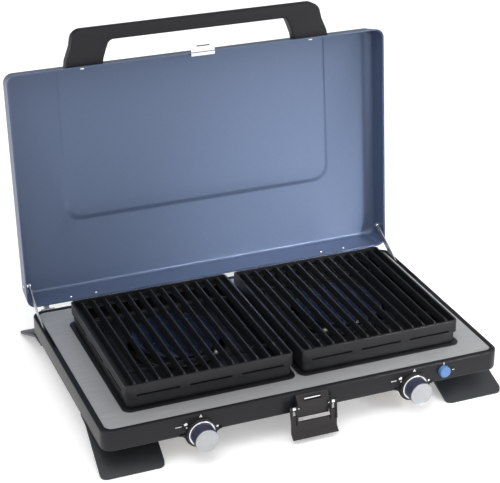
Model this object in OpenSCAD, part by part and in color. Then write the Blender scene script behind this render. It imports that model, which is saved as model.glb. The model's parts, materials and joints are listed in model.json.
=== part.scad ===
// Table-top gas stove with two burners, grill grates and a folding lid.
// +X points to the user's right, +Y to the back and +Z up. The origin lies on the
// ground, under the middle of the box round the stove with its lid open.

/* [Case] */
// Width of the case
case_w = 540; // [520:1:640]
// Depth of the case, front to back
case_d = 331; // [280:1:400]
// Height of the case walls
case_h = 27; // [24:1:36]
// Gap between the ground and the case
leg_h = 34; // [28:1:48]
// Plan radius of the case corners
corner_r = 15; // [8:1:22]
// Width of the rim round the worktop
rim_w = 7; // [7:0.5:10]
// Thickness of the case sheet
sheet = 1; // [0.8:0.1:1.2]
// Thickness of the worktop sheet
panel_t = 1.2; // [0.8:0.1:1.8]
// Drop of the worktop below the rim
panel_drop = 0.8; // [0.4:0.1:1.2]

/* [Grates and burners] */
// Width of one grate
grate_w = 222; // [190:1:240]
// Depth of one grate
grate_d = 241; // [190:1:260]
// Gap between the two grates
grate_gap = 11.6; // [6:0.2:30]
// Height of the skirt round a grate
grate_h = 17; // [14:1:22]
// Distance from the case centre forward to the grate centre
grate_fwd = 6.3; // [0:0.1:12]
// Number of ridges on a grate
ridges = 13; // [9:1:17]
// Plan radius of a grate's corners
grate_r = 5.5; // [5:0.5:14]
// Thickness of a ridge
ridge_t = 3.4; // [2.5:0.1:5]
// Height of a drip pan
pan_h = 17.4; // [14:0.2:20]
// Set-in of the pan below the grate
pan_inset = 2; // [1:0.5:5]
// Width of the flange round a pan's foot
pan_flange = 6; // [2:0.5:7]
// Radius of the burner cap
cap_r = 59; // [45:1:64]
// Height of the cap's top above the worktop
cap_rise = 20; // [17:0.5:22]

/* [Lid] */
// Width of the lid beyond the case's
lid_over = 5; // [0:0.5:6]
// Depth of the lid short of the case's
lid_short = 4.5; // [3:0.5:6]
// Height of the closed lid
lid_h = 41; // [37:1:55]
// Angle from closed to fully open
lid_open = 95.7; // [90:0.1:110]
// Slope of the lid's front and back walls, set-in per height
lid_draft = 0.15; // [0:0.01:0.25]
// Slope of the lid's side walls, set-in per height
side_draft = 0.06; // [0:0.01:0.15]
// Thickness of the lid sheet
lid_t = 1; // [0.8:0.1:1.4]
// Depth of the field pressed into the lid
field_h = 3; // [1:0.5:3]
// Reach of the handle beyond the lid
handle_reach = 46.5; // [35:0.5:60]
// Length of the handle, outside, at the lid
handle_w = 380; // [260:5:420]
// Depth of the handle moulding
handle_t = 18; // [12:1:22]

/* [Controls] */
// Distance from the case centre to a knob
knob_x = 145.5; // [120:0.5:160]
// Radius of a knob
knob_r = 15.3; // [12:0.1:17]
// Reach of a knob's face from the case front
knob_out = 23; // [20:0.5:30]
// Distance from the case centre to the igniter
igniter_x = 188; // [180:0.5:215]
// Radius of the igniter button
button_r = 8.2; // [5:0.1:8.6]
// Travel of the igniter button
button_travel = 4; // [2:0.5:5]

/* [Latch] */
// Width of the latch lever
lever_w = 62; // [50:1:80]
// Reach of the lever's lip from the case front
lever_out = 21; // [18:0.5:28]
// Radius of the lever pins
latch_pin_r = 1.6; // [1.2:0.1:2]

/* [Feet] */
// Width of a foot
foot_w = 82; // [50:1:90]
// Thickness of the foot moulding
foot_t = 3; // [2.5:0.1:4]
// Reach of the front feet past the case front
foot_front_out = 6.5; // [2:0.5:20]
// Reach of the back feet past the case back
foot_back_out = 60.5; // [40:0.5:80]

/* [Hinges and stays] */
// Radius of a hinge pin
hinge_pin_r = 1.25; // [1:0.05:1.5]
// Distance from the case centre to a hinge
hinge_x = 246; // [150:1:246]
// Width of a stay
stay_w = 8.5; // [6:0.5:9]
// Length of a stay between its rivet and its tip
stay_l = 105; // [90:1:112]
// Running clearance on the radius of a pin
run = 0.05; // [0.02:0.01:0.1]

/* [Hidden] */
$fn = 64;
eps = 0.01;

black = [0.06, 0.06, 0.07];
steel = [0.72, 0.73, 0.75];
pale = [0.62, 0.63, 0.65];
blue = [0.30, 0.39, 0.55];
brass = [0.78, 0.62, 0.30];

// Levels, measured from the ground
case_z = leg_h;
rim_z = leg_h + case_h;
panel_z = rim_z - panel_drop;
ledge_z = panel_z - panel_t;
pan_top = panel_z + pan_h;
grate_z = pan_top;
grate_top = grate_z + grate_h;

// Insides of the case
front = -case_d / 2;
back = case_d / 2;
well_w = case_w - 2 * rim_w;
well_d = case_d - 2 * rim_w;
well_r = max(corner_r - 5, 4);
ledge_w = 6;
panel_gap = 0.3;

// Grates and burners stand in the same two places
cook_x = (grate_w + grate_gap) / 2;
burner_y = 4;
cup_r = cap_r - 5;
cup_t = 2;
neck_r = 38;
cup_z = case_z + sheet;
cup_top = panel_z + cap_rise - 8;
hole_r = cap_r + 6;

// Gas line
tap_z = case_z + 1;
tap_y = front + 25;
tap_l = 26;
tap_w = 18;
mixer_r = 8;
mixer_z = case_z + 12;
rail_r = 4;
rail_y = tap_y + 13;
rail_end = back - 18;
inlet_z = mixer_z;
inlet_r = 4.4;
inlet_out = 24;
stem_r = 3;

// Bezels behind the knobs, and the lobes of the case that carry them
bezel_t = 3;
bezel_r = knob_r + 3.7;
lobe_r = bezel_r + 2;
lobe_fillet = 8;
ring_t = 2.4;
ring_r = knob_r + 2.7;
ring_gap = 0.4;
face_t = 1.5;
knob_y = front - knob_out;
ring_y = front - bezel_t - ring_gap;

igniter_z = case_z + 14.5;
button_out = 6.5;

// Lid, drawn closed and turned about the hinge line to open
hinge_out = 2.8;
hinge_drop = 3.4;
lid_gap = 0.5;
lid_behind = 5.5;
lid_w = case_w + lid_over;
lid_d = case_d - lid_short;
hinge_y = back + hinge_out;
hinge_z = rim_z - hinge_drop;
lid_z = rim_z + lid_gap;
lid_back = hinge_y - lid_behind;
lid_front = lid_back - lid_d;
lid_mid = lid_back - lid_d / 2;
lid_round = 8;
field_side = 73;
field_back = 107;
field_front = 24;
handle_low = 8.5;
bar_t = 17;
screw_r = 2;

// Stays hang on rivets inside the lid and dip through slots in the rim
stay_t = 1.5;
stay_x = case_w / 2 - 4.65;
stay_in = 27.5;
stay_up = 14;
stay_a = 26.9;
stay_slot_w = 2.2;
slot_past = 8;
rivet_r = 2;
rivet_y = lid_back - stay_in;
rivet_z = lid_z + stay_up;

knuckle_r = 2.5;
leaf_w = 18;
leaf_t = 1.2;

// Latch, on the middle of the case front
catch_w = 43;
catch_t = 2.2;
catch_out = 9.5;
latch_up = 11;
latch_y = front - catch_out;
latch_z = case_z + latch_up;
lever_gap = 0.6;
cheek_t = 2;
ear_t = 1.8;
ear_in = catch_w / 2 + lever_gap;
roller_w = lever_w / 2 - ear_in - 2 * ear_t;
keeper_w = 34;
hook_w = 19;
hook_y = front - 6.2;

foot_flare = 5.5;
foot_edge = 0.5;
foot_in = case_w / 2 - foot_w - foot_edge;
foot_toe_r = 9;
foot_run = 77;
foot_pad = 28;

// Where the middle of the open stove's box lies from the case centre
back_reach = hinge_y - (lid_front + lid_draft * (lid_h - lid_round) + 4.4 - hinge_y) * -cos(lid_open)
    + (lid_z + lid_h - hinge_z) * sin(lid_open);
case_y = -(back_reach + front - max(knob_out, lever_out)) / 2;

// Rounded rectangle, width by depth
module plate2d(w, d, r) {
    square([w - 2 * r, d], center = true);
    square([w, d - 2 * r], center = true);
    for (x = [-1, 1], y = [-1, 1])
        translate([x * (w / 2 - r), y * (d / 2 - r)]) circle(r);
}

// The same, as a plate from one level to another
module slab(w, d, r, low, high) {
    translate([0, 0, low]) linear_extrude(high - low) plate2d(w, d, r);
}

// A cylinder that runs back along Y from its front end
module rod_y(x, y, z, r, l) {
    translate([x, y, z]) rotate([-90, 0, 0]) cylinder(r = r, h = l);
}

// A cylinder along X, centred
module rod_x(x, y, z, r, l) {
    translate([x, y, z]) rotate([0, 90, 0]) cylinder(r = r, h = l, center = true);
}

// A profile in the Y-Z plane, pulled out along X
module rib(x, w) {
    translate([x - w / 2, 0, 0]) rotate([90, 0, 90]) linear_extrude(w) children();
}

module in_place() {
    translate([0, case_y, 0]) children();
}

// Turns a lid piece from closed to open
module opened() {
    in_place() translate([0, hinge_y, hinge_z]) rotate([-lid_open, 0, 0])
        translate([0, -hinge_y, -hinge_z]) children();
}

module case_shell() {
    color(black) in_place() difference() {
        union() {
            difference() {
                slab(case_w, case_d, corner_r, case_z, rim_z);
                slab(case_w - 2 * sheet, case_d - 2 * sheet, corner_r - sheet, case_z - 1, rim_z - sheet);
                slab(well_w, well_d, well_r, ledge_z, rim_z + 1);
            }
            difference() {
                slab(well_w + 2 * sheet, well_d + 2 * sheet, well_r + sheet, ledge_z - sheet, rim_z);
                slab(well_w, well_d, well_r, ledge_z, rim_z + 1);
                slab(well_w - 2 * ledge_w, well_d - 2 * ledge_w, well_r, ledge_z - 2, ledge_z + 1);
            }
            for (s = [-1, 1]) translate([s * knob_x, front + sheet, tap_z]) rotate([90, 0, 0])
                linear_extrude(sheet) lobe2d();
            for (s = [-1, 1], y = tab_ys()) translate([s * (case_w / 2 - sheet - 5) - 5, y - 6, case_z + sheet])
                cube([10, 12, 1.5]);
        }
        for (s = [-1, 1]) rod_y(s * knob_x, front - 1, tap_z, stem_r + 2, sheet + 2);
        rod_y(igniter_x, front - 1, igniter_z, button_r + 0.2, sheet + 2);
        rod_y(0, back - sheet - 1, inlet_z, inlet_r, sheet + 2);
        for (s = [-1, 1]) translate([s * stay_x - stay_slot_w / 2, slot_low(), rim_z - 2])
            cube([stay_slot_w, slot_high() - slot_low(), 4]);
        for (s = [-1, 1], y = tab_ys()) translate([s * (case_w / 2 - sheet - 5), y, case_z])
            cylinder(r = 1.6, h = 6);
    }
}

// Lobe from in front: a disc with a gusset each side, up to the wall's bottom edge
module lobe2d() {
    edge = case_z - tap_z;
    foot = 0.6 * lobe_r;
    circle(r = lobe_r);
    polygon([
        [-lobe_r - lobe_fillet, edge + sheet], [lobe_r + lobe_fillet, edge + sheet],
        [lobe_r + lobe_fillet, edge], [foot, -foot], [-foot, -foot], [-lobe_r - lobe_fillet, edge]
    ]);
}

// Places of the screws that hold the bottom plate
function tab_ys() = [front + 38, 22];

// The part of the rim that the stays sweep through
function slot_low() = hinge_y - stay_l - slot_past;
function slot_high() = rivet_y + slot_past + 3;

module bottom_plate() {
    color([0.35, 0.36, 0.38]) in_place() difference() {
        slab(case_w - 2 * sheet, case_d - 2 * sheet, corner_r - sheet, case_z, case_z + sheet);
        for (s = [-1, 1]) translate([s * knob_x - tap_w / 2 - 2, front, case_z - 1])
            cube([tap_w + 4, tap_l + 32, 4]);
        for (s = [-1, 1], y = tab_ys()) translate([s * (case_w / 2 - sheet - 5), y, case_z - 1])
            cylinder(r = 1.6, h = 4);
        for (p = foot_bolts()) translate([p[0], p[1], case_z - 1]) cylinder(r = 2.1, h = 4);
        for (s = [-1, 1]) translate([s * cook_x, burner_y, case_z - 1]) cylinder(r = 30, h = 4);
    }
}

module worktop_panel() {
    color(pale) in_place() difference() {
        slab(well_w - 2 * panel_gap, well_d - 2 * panel_gap, well_r - panel_gap, ledge_z, panel_z);
        for (s = [-1, 1]) translate([s * cook_x, burner_y, ledge_z - 1]) cylinder(r = hole_r, h = 4);
    }
}

// Drip pan: a tray with a raised collar round the burner
module pan(side) {
    pw = grate_w - 2 * pan_inset;
    pd = grate_d - 2 * pan_inset;
    wall = 1.2;
    pr = grate_r - 0.5;
    floor_z = panel_z + 1.5;
    flange = min(pan_flange, cook_x - pw / 2 - 0.5);
    color(black) in_place() translate([side * cook_x, 0, 0]) {
        difference() {
            translate([0, -grate_fwd, 0]) union() {
                slab(pw, pd, pr, panel_z, pan_top);
                slab(pw + 2 * flange, pd + 2 * flange, pr + flange, panel_z, panel_z + wall);
            }
            translate([0, -grate_fwd, 0])
                slab(pw - 2 * wall, pd - 2 * wall, pr - wall, floor_z + wall, pan_top + 1);
            translate([0, -grate_fwd, 0])
                slab(pw - 2 * wall, pd - 2 * wall, pr - wall, panel_z - 1, floor_z);
            translate([0, burner_y, panel_z - 1]) cylinder(r = hole_r - 1.5, h = pan_h + 2);
        }
        translate([0, burner_y, floor_z]) difference() {
            cylinder(r = hole_r, h = 6);
            translate([0, 0, -1]) cylinder(r = hole_r - 1.5, h = 8);
        }
    }
}

// Grill grate: a skirt with vents along its foot, and ridges on two cross rails
module grate(side) {
    wall = 3;
    vent_l = 56;
    pitch = (grate_w - 28) / (ridges - 1);
    ridge_h = 8;
    rail_low = grate_top - ridge_h - 3;
    color(black) in_place() translate([side * cook_x, -grate_fwd, 0]) difference() {
        union() {
            difference() {
                slab(grate_w, grate_d, grate_r, grate_z, grate_top);
                slab(grate_w - 2 * wall, grate_d - 2 * wall, grate_r - wall, grate_z - 1, grate_top + 1);
            }
            difference() {
                slab(grate_w, grate_d, grate_r, grate_top - 3, grate_top - 1);
                slab(grate_w - 20, grate_d - 20, grate_r, grate_top - 4, grate_top);
            }
            for (i = [0 : ridges - 1])
                translate([(i - (ridges - 1) / 2) * pitch - ridge_t / 2, -grate_d / 2 + 6, grate_top - ridge_h])
                    cube([ridge_t, grate_d - 12, ridge_h]);
            for (s = [-1, 1])
                translate([-grate_w / 2 + 1, s * grate_d / 3.4 - 2, rail_low]) cube([grate_w - 2, 4, 4]);
        }
        for (i = [-1 : 1]) {
            translate([i * (vent_l + 13) - vent_l / 2, -grate_d, grate_z - 1]) cube([vent_l, grate_d * 2, 3]);
            translate([-grate_w, i * (vent_l + 18) - vent_l / 2, grate_z - 1]) cube([grate_w * 2, vent_l, 3]);
        }
    }
}

// Burner: a cup that mixes the gas, under a ported cap
module burner_body(side) {
    neck = cup_z + 22;
    color([0.55, 0.56, 0.58]) in_place() translate([side * cook_x, burner_y, 0]) difference() {
        rotate_extrude() polygon([
            [0, cup_z], [neck_r, cup_z], [neck_r, neck], [cup_r, neck], [cup_r, cup_top], [cup_r - cup_t, cup_top],
            [cup_r - cup_t, neck + cup_t], [neck_r - cup_t, neck + cup_t], [neck_r - cup_t, cup_z + cup_t],
            [0, cup_z + cup_t]
        ]);
        rotate(side * mixer_a()) translate([0, 4 - neck_r, mixer_z]) rotate([90, 0, 0])
            cylinder(r = mixer_r + run, h = 12);
    }
}

// Angle of a mixer tube, from its burner to its tap
function mixer_a() = atan((knob_x - cook_x) / (burner_y - mixer_y()));
function mixer_y() = tap_y + tap_l + 8;

module burner_cap(side) {
    ports = 48;
    color([0.16, 0.19, 0.27]) in_place() translate([side * cook_x, burner_y, cup_top]) difference() {
        union() {
            cylinder(r = cap_r, h = 5);
            translate([0, 0, 5]) cylinder(r1 = cap_r, r2 = cap_r - 3, h = 3);
            translate([0, 0, -4]) cylinder(r = cup_r - cup_t - 0.2, h = 4.5);
        }
        translate([0, 0, -5]) cylinder(r = cup_r - cup_t - 3, h = 9.5);
        for (i = [0 : ports - 1]) rotate(i * 360 / ports) translate([cup_r - 8, -0.75, 1.2])
            cube([16, 1.5, 2.2]);
    }
}

// Mixer tube, from an open bell at the jet to the burner cup
module mixer(side) {
    reach = (burner_y - mixer_y()) / cos(mixer_a());
    color(steel) in_place() translate([side * cook_x, burner_y, mixer_z]) rotate(side * mixer_a())
        rotate([90, 0, 0]) difference() {
            union() {
                translate([0, 0, neck_r - 1]) cylinder(r = mixer_r, h = reach - neck_r + 1);
                translate([0, 0, reach - 8]) cylinder(r = mixer_r + 1.5, h = 8);
            }
            translate([0, 0, neck_r - 5]) cylinder(r = mixer_r - 1.2, h = reach);
            for (s = [-1, 1]) translate([s * mixer_r - 3, -20, reach - 20]) cube([6, 40, 9]);
        }
}

module jets() {
    color(brass) in_place() for (s = [-1, 1]) translate([s * knob_x, tap_y + tap_l, mixer_z])
        rotate(s * mixer_a()) rotate([-90, 0, 0]) difference() {
            union() {
                translate([0, 0, -4]) cylinder(r = 3, h = 8);
                translate([0, 0, 4]) cylinder(r = 2.2, h = 6);
            }
            translate([0, 0, -5]) cylinder(r = 0.5, h = 20);
        }
}

// Gas tap: a block with a bored spindle seat, an outlet and a union for the rail
module valve(side) {
    color(brass) in_place() difference() {
        union() {
            translate([side * knob_x - tap_w / 2, tap_y, tap_z - tap_w / 2]) cube([tap_w, tap_l, tap_w + 11]);
            rod_y(side * knob_x, front + sheet, tap_z, 7, tap_y - front - sheet + 1);
        }
        rod_y(side * knob_x, front, tap_z, stem_r + run, tap_y - front + 16);
        translate([side * knob_x, tap_y + tap_l, mixer_z]) rotate(side * mixer_a()) rotate([-90, 0, 0])
            translate([0, 0, -4]) cylinder(r = 3, h = 20);
        rod_x(side * (knob_x - tap_w / 2), rail_y, mixer_z, rail_r, 12);
    }
}

module stem(side) {
    color(steel) in_place() rod_y(side * knob_x, knob_y + face_t + 2, tap_z, stem_r, tap_y - knob_y + 8);
}

// Rail between the taps, with a branch to the inlet at the back
module gas_rail() {
    span = knob_x - tap_w / 2 + 5.5;
    color(brass) in_place() difference() {
        union() {
            rod_x(0, rail_y, mixer_z, rail_r, 2 * span);
            rod_y(0, rail_y, mixer_z, rail_r, rail_end - rail_y);
            rod_y(0, rail_end - 12, mixer_z, rail_r + 2, 12);
        }
        rod_x(0, rail_y, mixer_z, rail_r - 1, 2 * span + 2);
        rod_y(0, rail_y, mixer_z, rail_r - 1, case_d);
    }
}

module inlet_fitting() {
    color(brass) in_place() difference() {
        union() {
            rod_y(0, rail_end, inlet_z, inlet_r, back + inlet_out - rail_end);
            rod_y(0, back - sheet - 6, inlet_z, inlet_r + 4, 6);
            rod_y(0, back, inlet_z, inlet_r + 3.6, 4);
        }
        rod_y(0, rail_end - 1, inlet_z, 2.6, inlet_out + back - rail_end + 2);
    }
}

// Where an electrode stands, from its burner's centre
function spark_dx() = -(cup_r + 4.2) * cos(48);
function spark_dy() = -(cup_r + 4.2) * sin(48);

// Spark electrodes: a ceramic sleeve on the bottom plate, with its wire under the cap
module electrodes() {
    color([0.9, 0.88, 0.82]) in_place() for (s = [-1, 1])
        translate([s * (cook_x + spark_dx()), burner_y + spark_dy(), case_z + sheet]) {
            cylinder(r = 3, h = cup_top - case_z - sheet - 5);
            cylinder(r = 0.8, h = cup_top - case_z - sheet - 1.5);
            cylinder(r = 4, h = 5);
        }
}

// Leads from the piezo unit to the two electrodes, laid along the bottom plate
module ignition_leads() {
    lead_r = 1.2;
    low = case_z + sheet + lead_r;
    y1 = tap_y + tap_l + 4;
    y2 = burner_y + spark_dy() - 4;
    x2 = cook_x + spark_dx();
    color([0.5, 0.1, 0.08]) in_place() {
        translate([igniter_x, 0, low]) rod_y(0, igniter_back(), 0, lead_r, y1 - igniter_back());
        rod_x((igniter_x - x2) / 2, y1, low, lead_r, igniter_x + x2);
        translate([igniter_x, y1, low]) sphere(lead_r);
        for (s = [-1, 1]) {
            rod_y(s * x2, y1, low, lead_r, y2 - y1);
            translate([s * x2, y1, low]) sphere(lead_r);
        }
    }
}

function igniter_back() = front + sheet + 44;

module knob_grip(side) {
    flutes = 30;
    depth = knob_out - bezel_t - ring_gap - ring_t - face_t;
    color([0.20, 0.22, 0.30]) in_place() translate([side * knob_x, ring_y - ring_t, tap_z]) rotate([90, 0, 0])
        difference() {
            cylinder(r = knob_r, h = depth);
            for (i = [0 : flutes - 1]) rotate(i * 360 / flutes) translate([knob_r + 0.2, 0, 1])
                cylinder(r = 0.7, h = depth - 2, $fn = 16);
            translate([0, 0, -1]) cylinder(r = stem_r, h = depth - 1);
        }
}

module knob_cap(side) {
    color([0.85, 0.86, 0.87]) in_place() rod_y(side * knob_x, knob_y, tap_z, knob_r, face_t);
}

module knob_ring(side) {
    color(steel) in_place() difference() {
        rod_y(side * knob_x, ring_y - ring_t, tap_z, ring_r, ring_t);
        rod_y(side * knob_x, ring_y - ring_t - 1, tap_z, stem_r, ring_t + 2);
    }
}

module bezels() {
    color([0.03, 0.03, 0.03]) in_place() for (s = [-1, 1]) difference() {
        rod_y(s * knob_x, front - bezel_t, tap_z, bezel_r, bezel_t);
        rod_y(s * knob_x, front - bezel_t - 1, tap_z, stem_r + 2, bezel_t + 2);
    }
}

// Piezo unit behind the case front
module igniter_body() {
    color([0.9, 0.9, 0.86]) in_place() difference() {
        union() {
            rod_y(igniter_x, front + sheet, igniter_z, button_r + 1.2, 3);
            rod_y(igniter_x, front + sheet, igniter_z, button_r + 0.8, 40);
            translate([igniter_x - 3, front + sheet + 34, case_z + sheet]) cube([6, 10, igniter_z - case_z - 2]);
        }
        rod_y(igniter_x, front, igniter_z, button_r - 0.6 + run, 20);
    }
}

module igniter_button() {
    color([0.24, 0.42, 0.68]) in_place() {
        rod_y(igniter_x, front - button_out, igniter_z, button_r - 1, 1);
        rod_y(igniter_x, front - button_out + 1, igniter_z, button_r - 0.6, button_out - 1 + sheet + 12);
    }
}

// Catch: a bent plate that stands off the case front, with cheeks for the lever
module latch_plate() {
    top_z = rim_z - 1;
    color([0.08, 0.07, 0.07]) in_place() difference() {
        union() {
            rib(0, catch_w) polygon([
                [front, top_z], [front, top_z - catch_t * 1.4], [latch_y + catch_t, latch_z + 6],
                [latch_y + catch_t, case_z - 3], [latch_y, case_z - 3], [latch_y, latch_z + 8],
                [front - 2.5, top_z]
            ]);
            for (s = [-1, 1]) rib(s * (catch_w - cheek_t) / 2, cheek_t) polygon([
                [front, latch_z + 10], [front, latch_z - 8], [latch_y - 2.6, latch_z - 4],
                [latch_y - 2.6, latch_z + 4]
            ]);
        }
        for (s = [-1, 1]) rod_x(s * catch_w / 2, latch_y, latch_z, latch_pin_r, 12);
        translate([-hook_w / 2 - 2, hook_y - 2.6, latch_z]) cube([hook_w + 4, 5.2, 20]);
    }
}

// Lever: a panel under a window, two channel arms with ears for the pins, a flared lip
module latch_lever() {
    low = 5.5;
    lip_y = front - lever_out;
    arm_y = latch_y - 1.2;
    sill_z = case_z - 7;
    web_z = sill_z + 9;
    color(black) in_place() difference() {
        union() {
            rib(0, lever_w) polygon([
                [arm_y - 2, latch_z + 4], [arm_y, latch_z + 4], [arm_y - 1.4, sill_z], [lip_y + 6, low + 8.5],
                [lip_y + 2.2, low], [lip_y, low], [lip_y + 3.6, low + 8.5], [arm_y - 4, sill_z]
            ]);
            for (s = [-1, 1], x = [ear_in + ear_t / 2, lever_w / 2 - ear_t / 2]) {
                rod_x(s * x, latch_y, latch_z, 4, ear_t);
                rib(s * x, ear_t) polygon([
                    [latch_y - 4, latch_z], [latch_y + 4, latch_z], [arm_y - 2, sill_z - 4], [arm_y - 5, sill_z - 4]
                ]);
            }
        }
        translate([-ear_in, arm_y - 10, sill_z]) cube([2 * ear_in, 30, 60]);
        for (s = [-1, 1]) {
            translate([s * (ear_in + lever_w / 2) / 2 - roller_w / 2, arm_y - 10, web_z])
                cube([roller_w, 30, 60]);
        }
        rod_x(0, latch_y, latch_z, latch_pin_r + run, lever_w + 2);
    }
}

module latch_pins() {
    inner = catch_w / 2 - cheek_t;
    color(steel) in_place() for (s = [-1, 1]) {
        rod_x(s * (inner + lever_w / 2 + 0.6) / 2, latch_y, latch_z, latch_pin_r, lever_w / 2 + 0.6 - inner);
        rod_x(s * (ear_in + lever_w / 2) / 2, latch_y, latch_z, latch_pin_r + 0.8, roller_w - 0.6);
    }
}

// Outside of the lid, or its inside when shrunk by a sheet's thickness
module lid_form(t) {
    w = lid_w - 2 * t;
    d = lid_d - 2 * t;
    steps = [[0, 0], [lid_h - lid_round - t, 0], [lid_h - 4.2 - t, 0.9], [lid_h - 1.4 - t, 3], [lid_h - t, 7]];
    hull() for (s = steps) {
        cut_w = 2 * (side_draft * s[0] + s[1]);
        cut_d = 2 * (lid_draft * s[0] + s[1]);
        translate([0, lid_mid, lid_z + s[0] - (s[0] > 0 ? eps : 0)]) linear_extrude(eps)
            plate2d(w - cut_w, d - cut_d, corner_r - t + s[1] / 2, $fn = 32);
    }
}

// Field pressed into the lid's top, larger by a margin all round, from a depth below the top upwards
module lid_field(grow, low) {
    depth = lid_d - field_back - field_front + 2 * grow;
    translate([0, lid_front + field_front + depth / 2 - grow, 0])
        slab(lid_w - 2 * field_side + 2 * grow, depth, 18 + grow, lid_z + lid_h - low, lid_z + lid_h + 1);
}

module lid_shell() {
    color(blue) opened() difference() {
        lid_form(0);
        difference() {
            translate([0, 0, -eps]) lid_form(lid_t);
            lid_field(lid_t, field_h + lid_t);
        }
        lid_field(0, field_h);
        translate([-keeper_w / 2, lid_front - 1, lid_z - 1]) cube([keeper_w, 4, 3.2]);
        for (s = [-1, 1]) rod_y(s * screw_x(), lid_front - 5, screw_z(), screw_r, 20);
        rod_x(0, rivet_y, rivet_z, rivet_r, lid_w + 2);
    }
}

// Keeper: a bent steel strip under the lid's front edge, with a hook for the catch
module lid_keeper() {
    y_in = lid_front + lid_t + 3;
    color(steel) opened() {
        translate([-keeper_w / 2, y_in, lid_z + 0.4]) cube([keeper_w, 1.4, 13]);
        translate([-keeper_w / 2, lid_front - 4, lid_z + 0.4]) cube([keeper_w, y_in - lid_front + 5.4, 1.4]);
        translate([-hook_w / 2, hook_y - 0.7, lid_z + 0.4]) cube([hook_w, lid_front - hook_y, 1.4]);
        translate([-hook_w / 2, hook_y - 0.7, lid_z - 5]) cube([hook_w, 1.4, 6]);
    }
}

// Outline of the handle from above, as quarter ellipses with a straight bar between
module handle_outline() {
    half = handle_w / 2;
    leg = 51;
    turn = 23;
    inner = 14.5;
    gap = handle_reach - bar_t;
    outer_pts = [for (a = [0 : 6 : 90]) [half - turn + turn * cos(a), handle_reach * sin(a)]];
    inner_pts = [for (a = [90 : -6 : 0]) [half - leg - inner + inner * cos(a), gap * sin(a)]];
    right = concat([[half, -9]], outer_pts);
    left = [for (i = [len(right) - 1 : -1 : 0]) [-right[i][0], right[i][1]]];
    in_left = [for (i = [len(inner_pts) - 1 : -1 : 0]) [-inner_pts[i][0], inner_pts[i][1]]];
    polygon(concat(right, left, [[-half + leg, -9]], in_left, inner_pts, [[half - leg, -9]]));
}

// Cuts a piece off along the lid's sloping front wall
module front_wall_cut() {
    difference() {
        children();
        translate([0, lid_front - 0.05, lid_z]) rotate([-atan(lid_draft), 0, 0])
            translate([-lid_w / 2, 0, -20]) cube([lid_w, 60, 80]);
    }
}

module handle() {
    color([0.10, 0.10, 0.11]) opened() difference() {
        front_wall_cut() translate([0, lid_front, lid_z + handle_low]) linear_extrude(handle_t)
            mirror([0, 1, 0]) handle_outline();
        for (s = [-1, 1]) rod_y(s * screw_x(), lid_front - 14, screw_z(), screw_r, 30);
    }
}

function screw_x() = handle_w / 2 - 24;
function screw_z() = lid_z + handle_low + handle_t / 2;

module handle_screws() {
    y_head = lid_front + lid_draft * (screw_z() + 4 - lid_z) + lid_t + 0.05;
    color(steel) opened() for (s = [-1, 1]) {
        rod_y(s * screw_x(), lid_front - 14, screw_z(), screw_r, y_head - lid_front + 14);
        rod_y(s * screw_x(), y_head, screw_z(), 4, 2.6);
    }
}

// Leaves on the back of the case, each with two knuckles
module hinge_case_leaves() {
    color(steel) in_place() for (s = [-1, 1]) difference() {
        union() {
            translate([s * hinge_x - leaf_w / 2, back, hinge_z - 16]) cube([leaf_w, leaf_t, 16]);
            for (k = [-1, 1]) rod_x(s * hinge_x + k * leaf_w * 0.36, hinge_y, hinge_z, knuckle_r, leaf_w * 0.28);
            for (k = [-1, 1]) translate([s * hinge_x + k * leaf_w * 0.36 - leaf_w * 0.14, back, hinge_z - knuckle_r])
                cube([leaf_w * 0.28, hinge_y - back, knuckle_r]);
        }
        rod_x(s * hinge_x, hinge_y, hinge_z, hinge_pin_r, leaf_w + 2);
        translate([s * hinge_x - leaf_w * 0.22 + 0.2, back - 1, hinge_z - knuckle_r - 0.5])
            cube([leaf_w * 0.44 - 0.4, 10, 10]);
    }
}

// Leaves on the lid, each with one knuckle between the case's two
module hinge_lid_leaves() {
    w = leaf_w * 0.4;
    color(steel) opened() for (s = [-1, 1]) difference() {
        union() {
            rod_x(s * hinge_x, hinge_y, hinge_z, knuckle_r, w);
            rib(s * hinge_x, w) polygon([
                [hinge_y - 2.4, hinge_z], [hinge_y + 2.4, hinge_z], [hinge_y + 1, lid_z + 5],
                [lid_back + 0.6, lid_z + 7], [lid_back + 1.1 - lid_draft * 17, lid_z + 17],
                [lid_back + 0.05 - lid_draft * 17, lid_z + 17], [lid_back + 0.05, lid_z], [lid_back + 1.4, lid_z],
                [hinge_y - 2.4, lid_z]
            ]);
        }
        rod_x(s * hinge_x, hinge_y, hinge_z, hinge_pin_r + run, w + 2);
    }
}

module hinge_pins() {
    color([0.8, 0.8, 0.82]) in_place() for (s = [-1, 1]) {
        rod_x(s * hinge_x, hinge_y, hinge_z, hinge_pin_r, leaf_w + 1);
        rod_x(s * hinge_x + leaf_w / 2 + 0.8, hinge_y, hinge_z, hinge_pin_r + 0.7, 1);
    }
}

// Places a stay piece at its rivet on the open lid
module at_rivet(side) {
    dy = rivet_y - hinge_y;
    dz = rivet_z - hinge_z;
    in_place() translate([side * stay_x,
        hinge_y + dy * cos(lid_open) + dz * sin(lid_open),
        hinge_z - dy * sin(lid_open) + dz * cos(lid_open)]) children();
}

// Flat steel stay with round ends and a return at its tip
module stay(side) {
    color([0.62, 0.63, 0.65]) at_rivet(side) rotate([stay_a, 0, 0]) difference() {
        union() {
            rod_x(0, 0, 0, stay_w / 2, stay_t);
            translate([-stay_t / 2, -stay_l + stay_w / 2, -stay_w / 2]) cube([stay_t, stay_l - stay_w / 2, stay_w]);
            rod_x(0, -stay_l + stay_w / 2, 0, stay_w / 2, stay_t);
        }
        rod_x(0, 0, 0, rivet_r + run, stay_t + 2);
    }
}

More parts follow.
